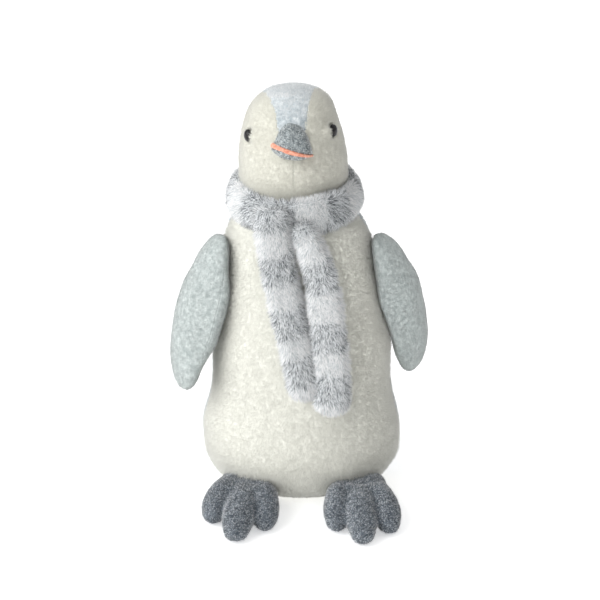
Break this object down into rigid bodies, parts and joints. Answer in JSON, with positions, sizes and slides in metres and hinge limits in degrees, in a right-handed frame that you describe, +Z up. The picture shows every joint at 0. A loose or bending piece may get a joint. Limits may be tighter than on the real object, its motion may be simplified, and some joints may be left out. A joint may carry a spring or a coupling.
{
  "type": "plush penguin",
  "caption": "Stuffed toy penguin standing on a flat base, with a beak, flippers, toed feet and a shaggy striped scarf.",
  "frame": {"origin": "centre of the flat base that the toy stands on", "axes": "+Z up along the toy's height, -Y the way it faces, +X its own left"},
  "size_m": [0.1942, 0.1797, 0.2988],
  "materials": {
    "cream_plush": "short dense pile",
    "blue_grey_plush": "short dense pile, mottled",
    "pale_terry": "short terry, heathered",
    "dark_terry": "short terry, heathered",
    "coral_cloth": "smooth woven cloth",
    "scarf_fur": "long shaggy pile in grey and white stripes",
    "fibre_filling": "loose polyester fibre",
    "pouch_cloth": "plain woven cloth",
    "pellet_plastic": "small pellets",
    "eye_black": "polished black",
    "washer_plastic": "moulded"
  },
  "bodies": {
    "torso": {"body_front_panel": "cream_plush", "body_back_panel": "blue_grey_plush", "body_base_panel": "cream_plush", "body_filling": "fibre_filling", "neck_stem": "fibre_filling", "pellet_pouch": "pouch_cloth", "pellets": "pellet_plastic", "scarf_loop": "scarf_fur"},
    "neck": {"neck_wad": "fibre_filling"},
    "head": {"head_crown_panel": "blue_grey_plush", "head_left_cheek_panel": "cream_plush", "head_right_cheek_panel": "cream_plush", "head_filling": "fibre_filling", "eye_left": "eye_black", "eye_right": "eye_black", "eye_left_washer": "washer_plastic", "eye_right_washer": "washer_plastic", "beak_upper_cover": "dark_terry", "mouth_strip": "coral_cloth", "beak_lower_cover": "dark_terry", "beak_filling": "fibre_filling"},
    "flipper_left": {"flipper_left_outer_panel": "pale_terry", "flipper_left_inner_panel": "pale_terry", "flipper_left_filling": "fibre_filling"},
    "flipper_right": {"flipper_right_outer_panel": "pale_terry", "flipper_right_inner_panel": "pale_terry", "flipper_right_filling": "fibre_filling"},
    "foot_left": {"foot_left_top_panel": "dark_terry", "foot_left_sole_panel": "dark_terry", "foot_left_filling": "fibre_filling"},
    "foot_right": {"foot_right_top_panel": "dark_terry", "foot_right_sole_panel": "dark_terry", "foot_right_filling": "fibre_filling"},
    "scarf_tail_left": {"scarf_left_tail": "scarf_fur"},
    "scarf_tail_right": {"scarf_right_tail": "scarf_fur"}
  },
  "joints": [
    {"name": "neck_nod", "type": "hinge", "parent": "torso", "child": "neck", "pos_m": [-0.0055, 0, 0.236], "axis": [1, 0, 0], "range_deg": [-8, 8]},
    {"name": "head_turn", "type": "hinge", "parent": "neck", "child": "head", "pos_m": [-0.0055, 0, 0.236], "axis": [0, 0, 1], "range_deg": [-25, 25]},
    {"name": "flipper_left_raise", "type": "hinge", "parent": "torso", "child": "flipper_left", "pos_m": [0.0546, -0.007, 0.19], "axis": [0, -1, 0], "range_deg": [0, 70]},
    {"name": "flipper_right_raise", "type": "hinge", "parent": "torso", "child": "flipper_right", "pos_m": [-0.0562, -0.007, 0.19], "axis": [0, 1, 0], "range_deg": [0, 70]},
    {"name": "foot_left_flex", "type": "hinge", "parent": "torso", "child": "foot_left", "pos_m": [0.041, -0.0635, 0.014], "axis": [1, 0, 0], "range_deg": [-12, 30]},
    {"name": "foot_right_flex", "type": "hinge", "parent": "torso", "child": "foot_right", "pos_m": [-0.041, -0.0635, 0.014], "axis": [1, 0, 0], "range_deg": [-12, 30]},
    {"name": "scarf_tail_left_lift", "type": "hinge", "parent": "torso", "child": "scarf_tail_left", "pos_m": [0.005, -0.046, 0.199], "axis": [-1, 0, 0], "range_deg": [0, 60]},
    {"name": "scarf_tail_right_lift", "type": "hinge", "parent": "torso", "child": "scarf_tail_right", "pos_m": [-0.018, -0.046, 0.199], "axis": [-1, 0, 0], "range_deg": [0, 60]}
  ]
}
